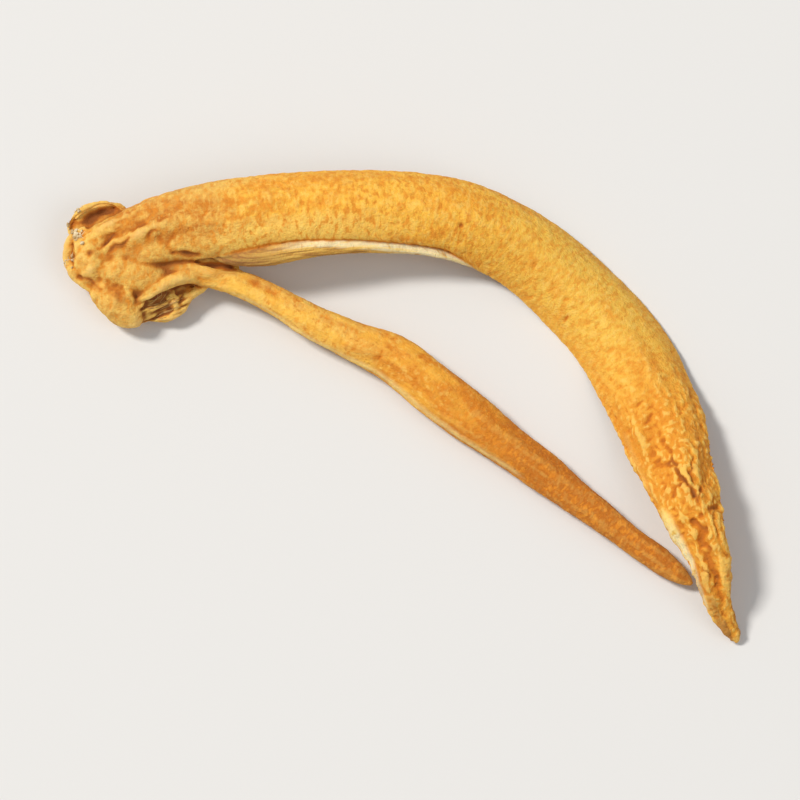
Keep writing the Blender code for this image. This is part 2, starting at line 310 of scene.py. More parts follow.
# Slender club
# The smaller fruiting body, a solid cord of the same flesh that dried with a furrow down its back. It
# springs from the foot just below the broad club and ends under that one's tip, clear of it.

SLENDER_ROUTE = [
    (-17.5, 9.7, 2.2),
    (-14.1, 9.1, 2.2),
    (-11.6, 8.5, 2.1),
    (-9.2, 7.4, 2.0),
    (-6.5, 5.8, 1.9),
    (-3.7, 4.5, 1.8),
    (-0.7, 3.15, 1.7),
    (2.4, 0.7, 1.6),
    (5.1, -1.45, 1.5),
    (7.8, -3.45, 1.35),
    (10.5, -5.5, 1.2),
    (13.6, -8.0, 1.1),
    (16.7, -10.4, 1.0),
    (19.2, -12.25, 0.9),
    (20.7, -13.4, 0.8),
]
SLENDER_FORM = [
    (0.0, 0.85, 0.75, 0.8, 0.0, 0.0),
    (3.5, 0.8, 0.7, 0.75, 0.0, 0.0),
    (6.0, 0.95, 0.75, 0.75, 0.0, 5.0),
    (10.0, 1.08, 0.9, 0.85, 0.1, 12.0),
    (14.5, 1.4, 1.0, 0.95, 0.2, 15.0),
    (18.5, 1.7, 1.15, 1.1, 0.25, 15.0),
    (22.5, 1.82, 1.2, 1.25, 0.25, 12.0),
    (28.0, 1.6, 1.1, 1.3, 0.2, 8.0),
    (34.0, 1.25, 0.95, 1.2, 0.15, 5.0),
    (39.0, 1.0, 0.8, 1.0, 0.1, 0.0),
    (43.0, 0.75, 0.55, 0.8, 0.0, 0.0),
    (44.2, 0.45, 0.35, 0.5, 0.0, 0.0),
    (44.8, 0.12, 0.1, 0.15, 0.0, 0.0),
]
SLENDER_FURROWS = [
    (5.0, 26.0, 0.4, 0.1, 0.4, 0.2),
    (16.0, 44.0, -0.3, 0.1, 0.4, 0.18),
]
SLENDER_MARGINS = [(4.0, 32.0, 0.7, 0.5)]
SLENDER_SHRIVEL = [(0.0, 0.5), (8.0, 0.3), (20.0, 0.45), (36.0, 0.6), (45.0, 0.3)]
SLENDER_SEED = 11.0
SLENDER_SIDES = 64
# Where its start lies as the broad club's straight places run, so that the grain runs on at the fork
SLENDER_START = (5.6, -4.7, -2.1)

slender = shaped(
    SLENDER_ROUTE,
    SLENDER_FORM,
    SLENDER_SHRIVEL,
    SLENDER_SEED,
    furrows=SLENDER_FURROWS,
    margins=SLENDER_MARGINS,
    start=SLENDER_START,
    slender=1.0,
)
slender_body = grow("slender body", slender, CLUB_STEP, SLENDER_SIDES)

# Foot
# The crumpled base that was pulled from the bed it grew in: a saddle of flesh that joins both clubs, a
# lower lobe beside a pocket under a hem of skin, a rolled end, and a flap that curls up behind.

# Lumps of flesh: middle, half sizes, and the turn seen from above in degrees
FOOT_LUMPS = [
    ((-19.6, 9.4, 1.75), (3.6, 1.9, 2.0), -12.0),
    ((-22.2, 10.4, 1.9), (1.4, 2.2, 1.95), 10.0),
    ((-20.6, 7.9, 1.4), (2.9, 1.5, 1.7), -52.0),
    ((-18.6, 7.0, 1.0), (1.6, 1.0, 1.15), 20.0),
    ((-16.9, 7.8, 0.9), (2.3, 1.0, 1.1), 30.0),
    ((-16.6, 10.2, 2.0), (1.8, 0.7, 0.7), -8.0),
    ((-21.9, 13.3, 2.2), (2.3, 1.15, 0.65), 25.0),
]
# Rolled edges and folds of skin: the points of each and its radius
FOOT_FOLDS = [
    # The hem over the pocket, which runs on into the slender club
    (
        [
            (-19.3, 6.3, 1.7),
            (-18.4, 7.4, 2.5),
            (-17.3, 8.1, 2.85),
            (-16.1, 8.7, 2.8),
            (-14.4, 9.0, 2.4),
            (-12.4, 8.7, 2.05),
        ],
        0.46,
    ),
    # The pocket's lower edge
    ([(-19.0, 6.1, 1.0), (-17.6, 6.4, 0.8), (-16.3, 6.7, 1.0), (-15.3, 7.8, 1.3), (-14.0, 8.6, 1.7)], 0.45),
    # The fold that parts the pocket in two
    ([(-16.9, 8.2, 2.3), (-16.3, 7.3, 1.8), (-16.1, 6.4, 0.9)], 0.4),
    # The ridge down the lower lobe
    ([(-19.7, 8.2, 3.1), (-19.4, 7.3, 2.75), (-19.2, 6.3, 1.9)], 0.33),
    # The rolled end, down to the lower lobe
    (
        [
            (-22.6, 12.4, 3.1),
            (-23.6, 11.8, 2.9),
            (-23.9, 10.8, 2.4),
            (-23.6, 9.7, 2.0),
            (-22.3, 8.6, 1.7),
            (-20.8, 7.2, 1.5),
            (-19.3, 6.1, 1.4),
        ],
        0.45,
    ),
    # The web between the clubs
    ([(-15.8, 10.2, 2.0), (-14.2, 10.1, 2.1), (-12.8, 9.95, 2.2), (-11.7, 9.55, 2.2)], 0.5),
    # The flesh that fills the saddle out to the slender club
    (
        [(-17.6, 9.75, 2.6), (-16.3, 9.6, 2.7), (-15.1, 9.45, 2.6), (-13.9, 9.25, 2.4), (-12.6, 9.0, 2.1)],
        0.62,
    ),
    # The flap's rim
    (
        [(-20.1, 13.9, 2.8), (-21.2, 14.3, 3.1), (-22.3, 14.1, 3.1), (-23.3, 13.5, 3.0), (-24.0, 12.6, 2.7)],
        0.24,
    ),
]
# The shares of its length between which a fold is full, and how thin its ends are
FOLD_FULL = (0.3, 0.7)
FOLD_THIN = 0.5
FOLD_SHRIVEL = 0.5
FOLD_PALE = 0.2
FOLD_SEED = 7.0
FOLD_STEP = 0.3
FOLD_SIDES = 20


def lump(middle, half_sizes, turn):
    """A rounded mass of flesh."""
    deselect_all()
    bpy.ops.mesh.primitive_uv_sphere_add(segments=32, ring_count=20, radius=1.0, location=middle)
    made = bpy.context.object
    made.scale = half_sizes
    made.rotation_euler.z = math.radians(turn)
    bpy.ops.object.transform_apply(location=True, rotation=True, scale=True)
    return made


def fold(points, radius):
    """A roll of skin that thins out at both ends."""
    length = measured(points)[-1][0]
    thickness = [(0.0, FOLD_THIN), (FOLD_FULL[0], 1.0), (FOLD_FULL[1], 1.0), (1.0, FOLD_THIN)]
    form = [(at * length, *[share * radius] * 3, 0.0, 0.0) for at, share in thickness]
    shrivel = [(0.0, FOLD_SHRIVEL), (length, FOLD_SHRIVEL)]
    return grow("fold", shaped(points, form, shrivel, FOLD_SEED, pale=FOLD_PALE), FOLD_STEP, FOLD_SIDES)


foot_bodies = [lump(*values) for values in FOOT_LUMPS] + [fold(*values) for values in FOOT_FOLDS]

# Skin
# One unbroken skin runs over foot and clubs. The bodies are fused into one and settled, and the skin gets
# the pits, the folds and the lengthwise wrinkles that drying leaves, before it is parted at the fork.

# The size of the skin's facets, and how far it settles in each of how many rounds
SKIN_GRAIN = 0.108
SETTLE_SHARE = 0.5
SETTLE_ROUNDS = 8
# The clubs are apart past this plane
FORK_X = -11.0
# Between these two places the grain turns from the club's own way to the foot's
FOOT_BLEND = (-10.4, -14.5)
# Where the foot's flesh lies as the broad club's straight places run
FOOT_START = (23.9, -13.2, -4.2)
# The smooth saddle, the pocket under the foot's hem and the broad club's smooth root: the middle of
# each, how far out it ends, and how far out it is full
FOOT_SADDLE = ((-17.2, 9.6, 3.2), 3.4, 1.8)
FOOT_POCKET = ((-17.2, 7.0, 1.4), 2.4, 1.5)
BROAD_ROOT = ((-14.2, 12.4, 4.3), 5.5, 3.0)
# How much further the foot's skin settles, and over how many rounds
FOOT_SLACK = 0.5
FOOT_SLACK_ROUNDS = 6
# How many rounds of blurring carry what the bodies keep over the seams between them
SEAM_BLUR = {"grain": 30, "shrivel": 20, "pale": 5, "slender": 30}
# How many rounds of blurring tell what stands proud close by, and what lies deep
PROUD_BLUR = 14
DEEP_BLUR = 90
# How the fibres in the pocket run
FIBRE_TURN = math.radians(-23)
# How far the folds sway off the grain, and how many bends that makes in a millimetre
SWAY = (1.2, 1.2, 1.2)
SWAY_BENDS = 0.7
# How far one bend of each pattern runs, in millimetres: along, across and up
FOLDS_RUN = (3.0, 1.3, 1.3)
CRUMPLES_RUN = (2.6, 1.5, 1.5)
FIBRES_RUN = (2.4, 0.34, 0.5)
SHEETS_RUN = (3.2, 1.6, 1.6)
PAPERY_RUN = (1.4, 0.6, 0.6)
SOFT_RUN = (2.4, 1.5, 1.5)
CRINKLES_RUN = (1.1, 0.75, 0.75)
FINE_CRINKLES_RUN = (0.6, 0.45, 0.45)
WRINKLES_RUN = (4.2, 0.42, 0.42)
RIPPLES_RUN = (0.45, 0.9, 0.9)
# How far pits and creases wander off their lines, how many bends that makes in a millimetre, how uneven
# that makes their depth and within what shares of it, and how steep their sides are
PRESSED_SEED = 3
PRESSED_WANDER = 0.3
PRESSED_BENDS = 1.1
PRESSED_UNEVEN = 1.2
PRESSED_SHARES = (0.3, 1.4)
PRESSED_STEEP = 1.4
# Pits and creases in the upper side: the points of each seen from above, its half width and its depth
PRESSED = [
    # The valley between the broad club and the saddle
    ([(-17.2, 11.2), (-16.2, 10.3)], 0.3, 0.12),
    ([(-16.2, 10.2), (-15.2, 9.92), (-13.5, 9.86), (-12.3, 9.75)], 0.17, 0.28),
    ([(-12.7, 9.7), (-11.9, 9.5), (-11.3, 9.25)], 0.16, 0.16),
    # Pits beside the rolled end and along the broad club's root
    ([(-22.2, 10.4), (-21.6, 10.7), (-21.2, 11.2), (-20.6, 11.5)], 0.19, 0.26),
    ([(-20.9, 10.2), (-20.4, 10.7), (-19.9, 10.8), (-19.5, 11.2)], 0.19, 0.24),
    ([(-19.2, 11.8), (-18.9, 12.2), (-18.4, 12.4)], 0.17, 0.13),
    ([(-18.0, 11.3), (-17.6, 11.7)], 0.18, 0.14),
    ([(-17.3, 12.4), (-16.8, 12.8)], 0.16, 0.1),
    ([(-16.6, 10.9), (-16.2, 11.4)], 0.18, 0.13),
    ([(-14.8, 11.1), (-14.6, 11.25)], 0.16, 0.1),
    ([(-14.2, 12.7), (-13.9, 13.2)], 0.15, 0.09),
    ([(-12.6, 12.0), (-12.4, 12.4)], 0.15, 0.08),
    ([(-23.2, 9.0), (-22.4, 8.6), (-21.6, 8.0)], 0.22, 0.18),
    # The hollow of the flap, inside its rim
    ([(-23.5, 12.75), (-22.6, 13.15), (-21.6, 13.6), (-20.7, 13.85)], 0.26, 0.34),
    # The hollow beside the lower lobe's ridge
    ([(-21.0, 8.2), (-20.4, 7.7), (-20.0, 7.0)], 0.42, 0.12),
    # The root of the slender club
    ([(-14.5, 8.6), (-14.4, 8.5)], 0.2, 0.08),
    ([(-10.9, 8.75), (-10.0, 8.3), (-8.9, 7.5)], 0.42, 0.07),
    # Small pits
    ([(-1.8, 2.9), (-1.6, 3.0)], 0.14, 0.12),
    ([(-2.9, 3.9), (-2.8, 3.9)], 0.14, 0.07),
    ([(4.1, 12.0), (4.2, 12.1)], 0.16, 0.1),
    ([(0.0, 11.1), (0.1, 11.1)], 0.16, 0.07),
    ([(3.1, 10.4), (3.3, 10.7)], 0.16, 0.07),
    ([(11.7, 6.1), (11.8, 6.2)], 0.16, 0.07),
    ([(-2.0, 13.5), (-1.8, 13.6)], 0.16, 0.06),
    # The creases of the tip
    ([(18.2, -3.2), (18.5, -3.9)], 0.13, 0.12),
    ([(18.6, -4.2), (18.8, -4.9), (19.2, -5.3)], 0.15, 0.17),
    ([(19.1, -5.6), (19.4, -6.3)], 0.13, 0.18),
    ([(19.4, -6.2), (19.8, -6.9), (20.4, -7.7)], 0.15, 0.26),
    ([(19.6, -6.5), (19.1, -7.0), (18.8, -7.7)], 0.12, 0.16),
    ([(20.4, -5.0), (20.1, -5.8), (20.3, -6.7)], 0.12, 0.14),
    ([(18.9, -4.9), (18.4, -5.3), (17.9, -5.3)], 0.12, 0.14),
    ([(20.9, -6.9), (20.6, -8.0), (20.8, -9.0)], 0.12, 0.12),
    ([(17.0, -2.2), (17.3, -1.8), (17.6, -1.4)], 0.15, 0.1),
    ([(16.6, -0.6), (17.0, -0.4)], 0.15, 0.08),
    ([(17.8, -5.6), (18.3, -5.3), (18.9, -5.4)], 0.16, 0.13),
    ([(21.2, -8.9), (21.6, -8.4), (22.1, -8.3)], 0.15, 0.12),
    ([(20.2, -9.4), (20.9, -10.0), (20.9, -10.8), (21.4, -11.4)], 0.15, 0.12),
    ([(20.9, -12.6), (21.3, -12.9), (21.5, -13.6)], 0.14, 0.1),
]


class Field:
    """A node's output, used in Python as if it were a number."""

    def __init__(self, tree, socket=None):
        self.tree = tree
        self.socket = socket

    def node(self, kind, settings=None, inputs=None, output=None):
        """Adds any node: its settings first, such as an operation, then its sockets."""
        made = self.tree.nodes.new(kind)
        for name, value in (settings or {}).items():
            setattr(made, name, value)
        for name, value in (inputs or {}).items():
            open_sockets = [s for s in made.inputs if s.enabled and s.name == name]
            socket = made.inputs[name] if isinstance(name, int) else open_sockets[0]
            if isinstance(value, Field):
                self.tree.links.new(value.socket, socket)
            else:
                socket.default_value = value
        ends = [s for s in made.outputs if s.enabled and output in (None, s.name)]
        return Field(self.tree, ends[0])

    def maths(self, operation, *values):
        return self.node("ShaderNodeMath", {"operation": operation}, dict(enumerate(values)))

    def __add__(self, other):
        return self.maths("ADD", self, other)

    def __sub__(self, other):
        return self.maths("SUBTRACT", self, other)

    def __rsub__(self, other):
        return self.maths("SUBTRACT", other, self)

    def __mul__(self, other):
        return self.maths("MULTIPLY", self, other)

    __radd__ = __add__
    __rmul__ = __mul__

    def __abs__(self):
        return self.maths("ABSOLUTE", self)

    def ease(self, low, high):
        """0 at low and 1 at high, with a soft start and end."""
        return self.node(
            "ShaderNodeMapRange",
            {"interpolation_type": "SMOOTHSTEP"},
            {"Value": self, "From Min": low, "From Max": high},
        )

    def stretched(self, x, y, z):
        """A place divided by how far a pattern runs each way."""
        spread = (1 / x, 1 / y, 1 / z)
        return self.node("ShaderNodeVectorMath", {"operation": "MULTIPLY"}, {0: self, 1: spread})

    def cloud(self, detail=1.0, roughness=0.5, twist=0.0):
        """Soft noise about one unit across, from 0 to 1."""
        inputs = {"Vector": self, "Scale": 1.0, "Detail": detail, "Roughness": roughness, "Distortion": twist}
        return self.node("ShaderNodeTexNoise", None, inputs)


def relief(skin):
    """Folds and wrinkles a fused skin, and keeps where its grain runs and what stands proud."""
    tree = bpy.data.node_groups.new("relief", "GeometryNodeTree")
    for way in ("INPUT", "OUTPUT"):
        tree.interface.new_socket("Geometry", in_out=way, socket_type="NodeSocketGeometry")
    geometry = Field(tree, tree.nodes.new("NodeGroupInput").outputs[0])

    def kept(name, kind="FLOAT"):
        settings = {"data_type": kind}
        return geometry.node("GeometryNodeInputNamedAttribute", settings, {"Name": name})

    def keep(held, name, value, kind="FLOAT"):
        settings = {"data_type": kind, "domain": "POINT"}
        inputs = {"Geometry": held, "Name": name, "Value": value}
        return geometry.node("GeometryNodeStoreNamedAttribute", settings, inputs)

    def blurred(value, rounds, kind="FLOAT"):
        inputs = {"Value": value, "Iterations": rounds}
        return geometry.node("GeometryNodeBlurAttribute", {"data_type": kind}, inputs)

    def vector(operation, a, b, output=None):
        return geometry.node("ShaderNodeVectorMath", {"operation": operation}, {0: a, 1: b}, output)

    def scaled(value, by):
        return geometry.node("ShaderNodeVectorMath", {"operation": "SCALE"}, {"Vector": value, "Scale": by})

    def moved(held, offset):
        return geometry.node("GeometryNodeSetPosition", None, {"Geometry": held, "Offset": offset})

    def raised(held, height):
        return moved(held, scaled(normal, height))

    def near(spot):
        """1 where the spot is full, fading to nothing where it ends."""
        middle, ends, full = spot
        return vector("DISTANCE", place, middle, "Value").ease(ends, full)

    def billow(where):
        """Nothing along winding creases, where a soft noise crosses its middle, and rounded between them."""
        return abs(where.cloud(1.0) - 0.5)

    place = geometry.node("GeometryNodeInputPosition")
    normal = geometry.node("GeometryNodeInputNormal")
    x = geometry.node("ShaderNodeSeparateXYZ", None, {"Vector": place}, "X")
    at_foot = x.ease(*FOOT_BLEND)
    grain = geometry.node(
        "ShaderNodeMix",
        {"data_type": "VECTOR"},
        {"Factor": at_foot, "A": kept("straight", "FLOAT_VECTOR"), "B": vector("ADD", place, FOOT_START)},
    )
    held = keep(geometry, "grain", blurred(grain, SEAM_BLUR["grain"], "FLOAT_VECTOR"), "FLOAT_VECTOR")
    for name in ("shrivel", "pale", "slender"):
        held = keep(held, name, blurred(kept(name), SEAM_BLUR[name]))
    held = keep(held, "foot", at_foot)
    slack = vector("SUBTRACT", blurred(place, FOOT_SLACK_ROUNDS, "FLOAT_VECTOR"), place)
    held = moved(held, scaled(slack, at_foot * FOOT_SLACK))

    # The folds of a shrivelled skin. A number that multiplies a pattern is its height in millimetres, or
    # the share of it that goes
    grain = kept("grain", "FLOAT_VECTOR")
    sway = geometry.node("ShaderNodeTexNoise", None, {"Vector": grain, "Scale": SWAY_BENDS}, "Color")
    swayed = geometry.node(
        "ShaderNodeVectorMath", {"operation": "MULTIPLY_ADD"}, {0: sway, 1: SWAY, 2: grain}
    )
    slender = kept("slender")
    plump = 1 - kept("pale") * 0.7
    shrivel = kept("shrivel") * (1 - at_foot * 0.75) * (1 - slender * 0.6)
    folds = grain.stretched(*FOLDS_RUN).cloud(1.0) - 0.5
    crumples = billow(swayed.stretched(*CRUMPLES_RUN)) - 0.1
    held = raised(held, (folds * 0.4 + crumples * 0.8) * shrivel)

    # The foot's own relief: fibres in the pocket, and sheets of crumpled skin round it
    pocket = near(FOOT_POCKET)
    held = keep(held, "pocket", pocket)
    turned = geometry.node(
        "ShaderNodeVectorRotate", {"rotation_type": "Z_AXIS"}, {"Vector": place, "Angle": FIBRE_TURN}
    )
    fibres = turned.stretched(*FIBRES_RUN).cloud(1.0) - 0.5
    sheets = billow(turned.stretched(*SHEETS_RUN))
    papery = billow(turned.stretched(*PAPERY_RUN))
    soft = billow(place.stretched(*SOFT_RUN)) - 0.1
    calm = (1 - near(FOOT_SADDLE) * 0.8) * (1 - near(BROAD_ROOT) * 0.8)
    crumple = (0.08 - sheets * 0.5 - papery * 0.25 + soft * 0.3) * calm
    held = raised(held, fibres * pocket * 0.5 + crumple * at_foot * (1 - pocket * 0.7))

    # Lengthwise wrinkles all over, and ripples and crinkles where it is shrivelled
    wrinkles = grain.stretched(*WRINKLES_RUN).cloud(2.0) - 0.5
    lengthwise = wrinkles * (shrivel * 0.10 + slender * 0.09 + kept("pale") * 0.24 + 0.02)
    ripples = swayed.stretched(*RIPPLES_RUN).cloud(1.5) - 0.5
    crinkles = billow(swayed.stretched(*CRINKLES_RUN)) + billow(swayed.stretched(*FINE_CRINKLES_RUN)) * 0.6
    crosswise = (ripples * 0.15 + (crinkles - 0.15) * shrivel * 0.5) * plump
    held = raised(held, lengthwise + crosswise * (1 - slender * 0.3) * (1 - at_foot * 0.4))

    for name, rounds in (("proud", PROUD_BLUR), ("deep", DEEP_BLUR)):
        away = vector("SUBTRACT", place, blurred(place, rounds, "FLOAT_VECTOR"))
        held = keep(held, name, vector("DOT_PRODUCT", away, normal, "Value"))
    end = tree.nodes.new("NodeGroupOutput")
    tree.links.new(held.socket, end.inputs[0])
    bpy.context.view_layer.objects.active = skin
    modifier = skin.modifiers.new("relief", "NODES")
    modifier.node_group = tree
    bpy.ops.object.modifier_apply(modifier=modifier.name)


def pick(*chosen):
    """Selects these and nothing else, with the first of them active."""
    deselect_all()
    for one in chosen:
        one.select_set(True)
    bpy.context.view_layer.objects.active = chosen[0]


def fuse(bodies):
    """Joins the bodies into one, wraps one skin round them and lets it settle."""
    pick(*bodies)
    bpy.ops.object.join()
    skin = bpy.context.object
    skin.data.remesh_voxel_size = SKIN_GRAIN
    skin.data.use_remesh_preserve_attributes = True
    bpy.ops.object.voxel_remesh()
    # Bubbles that the bodies shut in are left out
    bpy.ops.mesh.separate(type="LOOSE")
    skin = max(bpy.context.selected_objects, key=lambda part: len(part.data.vertices))
    for bubble in [part for part in bpy.context.selected_objects if part != skin]:
        bpy.data.objects.remove(bubble)
    bpy.context.view_layer.objects.active = skin
    settle = skin.modifiers.new("settle", "SMOOTH")
    settle.factor = SETTLE_SHARE
    settle.iterations = SETTLE_ROUNDS
    bpy.ops.object.modifier_apply(modifier=settle.name)
    return skin


def parted(body, name, place, way, keep):
    """A closed copy of the body on one side of a plane, the far side of it or the near one."""
    pick(body)
    bpy.ops.object.duplicate()
    piece = bpy.context.object
    piece.name = name
    bpy.ops.object.mode_set(mode="EDIT")
    bpy.ops.mesh.select_all(action="SELECT")
    bpy.ops.mesh.bisect(
        plane_co=place,
        plane_no=way,
        use_fill=True,
        clear_inner=keep == "far",
        clear_outer=keep == "near",
    )
    bpy.ops.mesh.region_to_loop()
    bpy.ops.mesh.mark_sharp()
    bpy.ops.object.mode_set(mode="OBJECT")
    return piece


def press(skin, marks):
    """Presses pits and creases into the upper side of the skin, and keeps how deep they are."""
    count = len(skin.data.vertices)
    places, normals = np.empty(count * 3), np.empty(count * 3)
    skin.data.vertices.foreach_get("co", places)
    skin.data.vertices.foreach_get("normal", normals)
    places, normals = places.reshape(-1, 3), normals.reshape(-1, 3)
    upper = np.flatnonzero(normals[:, 2] > 0)
    noise.seed_set(PRESSED_SEED)
    wander = np.array([noise.noise_vector(Vector(place) * PRESSED_BENDS) for place in places[upper]])
    flat = places[upper, :2] + PRESSED_WANDER * wander[:, :2]
    uneven = np.clip(1 + PRESSED_UNEVEN * wander[:, 2], *PRESSED_SHARES)
    pressed = np.zeros(len(upper))
    for points, reach, deep in marks:
        for start, end in zip(np.array(points), np.array(points[1:])):
            way = end - start
            share = np.clip((flat - start) @ way / (way @ way), 0, 1)
            away = np.linalg.norm(flat - start - share[:, None] * way, axis=1)
            pressed = np.maximum(pressed, deep * uneven * np.exp(-((away / reach) ** PRESSED_STEEP)))
    # They fade out where the skin turns down at the sides
    depth = np.zeros(count)
    depth[upper] = pressed * np.clip(normals[upper, 2] * 2, 0, 1)
    places -= normals * depth[:, None]
    skin.data.vertices.foreach_set("co", places.ravel())
    kept = skin.data.attributes.new("pressed", "FLOAT", "POINT")
    kept.data.foreach_set("value", depth)
    skin.data.update()


fused = fuse([broad_body, lip_body, slender_body, *foot_bodies])
press(fused, PRESSED)
relief(fused)
skin = parted(fused, "skin", (0, 0, 0), (0, 0, 1), "far")
foot = parted(skin, "foot_skin", (FORK_X, 0, 0), (1, 0, 0), "near")
clubs = parted(skin, "clubs", (FORK_X, 0, 0), (1, 0, 0), "far")
for spent in (fused, skin):
    bpy.data.objects.remove(spent)
pick(clubs)
bpy.ops.mesh.separate(type="LOOSE")
slender_club, broad_club = sorted(bpy.context.selected_objects, key=lambda club: len(club.data.vertices))
slender_club.name = "slender_club_skin"
broad_club.name = "broad_club_skin"

# Threads and crumbs
# Fibres of the same flesh that tore and dried in the pocket under the foot's hem, and the whitish
# remains of the bed it was pulled from, crumbs and short threads, that cling to the foot's rolled end.

FIBRE_SEED = 4
FIBRE_COUNT = 18
FIBRE_LENGTH = (0.8, 1.8)
FIBRE_RADIUS = (0.02, 0.035)
# How far fibres turn off the pocket's line in radians, and how far they swing from side to side
FIBRE_SPREAD = 0.16
FIBRE_SWING = 0.07
# The pocket's line seen from above, how far each side of it fibres lie, and the share of it in which
# they begin
POCKET_LINE = ((-18.8, 6.3), (-15.0, 7.9))
POCKET_REACH = 0.55
POCKET_BEGIN = 0.6
# How many points a thread has, how many radians its swing turns in a millimetre, and how thin its ends are
THREAD_POINTS = 14
THREAD_BENDS = 2.2
THREAD_ENDS = 0.3
# Where the crumbs cling: middle seen from above, reach, and how many
CRUMB_PATCHES = [
    ((-23.2, 11.7), 0.5, 26),
    ((-23.2, 13.8), 0.35, 12),
    ((-24.0, 12.7), 0.3, 10),
    ((-23.9, 10.2), 0.5, 12),
]
CRUMB_SEED = 9
CRUMB_SIZE = (0.06, 0.16)
CRUMB_SQUASH = (0.6, 1.2)
CRUMB_TURN = 3.0
# How far a crumb's middle stands off the skin, how rough it is, and how fine its lumps are
CRUMB_LIFT = 0.03
CRUMB_ROUGH = 0.07
CRUMB_LUMPS = (6.0, 14.0)
# This share of the crumbs are short threads instead
HAIR_SHARE = 0.3
HAIR_LENGTH = (0.4, 0.9)
HAIR_RADIUS = 0.03
HAIR_SWING = 0.1


def onto_skin(body, x, y, lift):
    """The place straight below x and y on the body, lifted off it a little, or nothing past its edge."""
    hit, place, normal, _ = body.ray_cast(Vector((x, y, 20.0)), Vector((0, 0, -1)))
    return place + normal * lift if hit else None


def threads(name, lines):
    """Fine tapered threads, each given by its points and its radius, as one mesh."""
    curve = bpy.data.curves.new(name, "CURVE")
    curve.dimensions = "3D"
    curve.bevel_depth = 1.0
    curve.bevel_resolution = 1
    curve.use_fill_caps = True
    for points, radius in lines:
        spline = curve.splines.new("POLY")
        spline.points.add(len(points) - 1)
        for k, (point, place) in enumerate(zip(spline.points, points)):
            point.co = (*place, 1.0)
            thickness = THREAD_ENDS + (1 - THREAD_ENDS) * math.sin(math.pi * (k + 0.5) / len(points))
            point.radius = radius * thickness
    made = bpy.data.objects.new(name, curve)
    bpy.context.scene.collection.objects.link(made)
    pick(made)
    bpy.ops.object.convert(target="MESH")
    return made


def strand(body, rng, start, way, length, radius, wave):
    """A thread that follows the skin from start, as points and its radius, or nothing."""
    points = []
    swing = rng.uniform(0, 2 * math.pi)
    for step in np.linspace(0, length, THREAD_POINTS):
        sway = wave * math.sin(swing + step * THREAD_BENDS)
        x, y = start + way * step + np.array([-way[1], way[0]]) * sway
        place = onto_skin(body, x, y, 0.0)
        if place is None:
            return None
        points.append(place)
    return points, radius


def pocket_fibre(body, rng):
    """A torn fibre that lies more or less along the pocket's line."""
    start, end = (np.array(point) for point in POCKET_LINE)
    across = float(np.linalg.norm(end - start))
    way = (end - start) / across
    side = np.array([-way[1], way[0]]) * rng.uniform(-POCKET_REACH, POCKET_REACH)
    begin = start + side + way * rng.uniform(0, POCKET_BEGIN) * across
    turn = rng.normal(0, FIBRE_SPREAD)
    ahead = np.array([
        way[0] * math.cos(turn) - way[1] * math.sin(turn),
        way[0] * math.sin(turn) + way[1] * math.cos(turn),
    ])
    length = rng.uniform(*FIBRE_LENGTH)
    return strand(body, rng, begin, ahead, length, rng.uniform(*FIBRE_RADIUS), FIBRE_SWING)


def hair(body, rng, x, y):
    """A short thread that starts at x and y and runs any way."""
    angle = rng.uniform(0, 2 * math.pi)
    way = np.array([math.cos(angle), math.sin(angle)])
    return strand(body, rng, np.array([x, y]), way, rng.uniform(*HAIR_LENGTH), HAIR_RADIUS, HAIR_SWING)


def crumb_at(place, rng):
    """A lumpy crumb."""
    deselect_all()
    bpy.ops.mesh.primitive_ico_sphere_add(subdivisions=3, radius=rng.uniform(*CRUMB_SIZE), location=place)
    crumb = bpy.context.object
    crumb.scale = rng.uniform(*CRUMB_SQUASH, 3)
    crumb.rotation_euler = rng.uniform(0, CRUMB_TURN, 3)
    bpy.ops.object.transform_apply(location=True, rotation=True, scale=True)
    coarse, fine = CRUMB_LUMPS
    for vertex in crumb.data.vertices:
        lumpy = noise.noise(vertex.co * coarse) + 0.5 * noise.noise(vertex.co * fine)
        vertex.co += (vertex.co - place).normalized() * CRUMB_ROUGH * lumpy
    return crumb


rng = np.random.default_rng(FIBRE_SEED)
fibre_lines = [pocket_fibre(foot, rng) for _ in range(FIBRE_COUNT)]
fibres = threads("foot_fibres", [line for line in fibre_lines if line])

rng = np.random.default_rng(CRUMB_SEED)
crumbs = []
hairs = []
for middle, reach, count in CRUMB_PATCHES:
    for _ in range(count):
        x, y = np.array(middle) + rng.normal(0, reach * 0.5, 2)
        place = onto_skin(foot, x, y, CRUMB_LIFT)
        if place is None:
            continue
        if rng.random() < HAIR_SHARE:
            hairs.append(hair(foot, rng, x, y))
        else:
            crumbs.append(crumb_at(place, rng))
crumbs.append(threads("hairs", [line for line in hairs if line]))
pick(*crumbs)
bpy.ops.object.join()
crumb_bed = bpy.context.object
crumb_bed.name = "foot_crumbs"
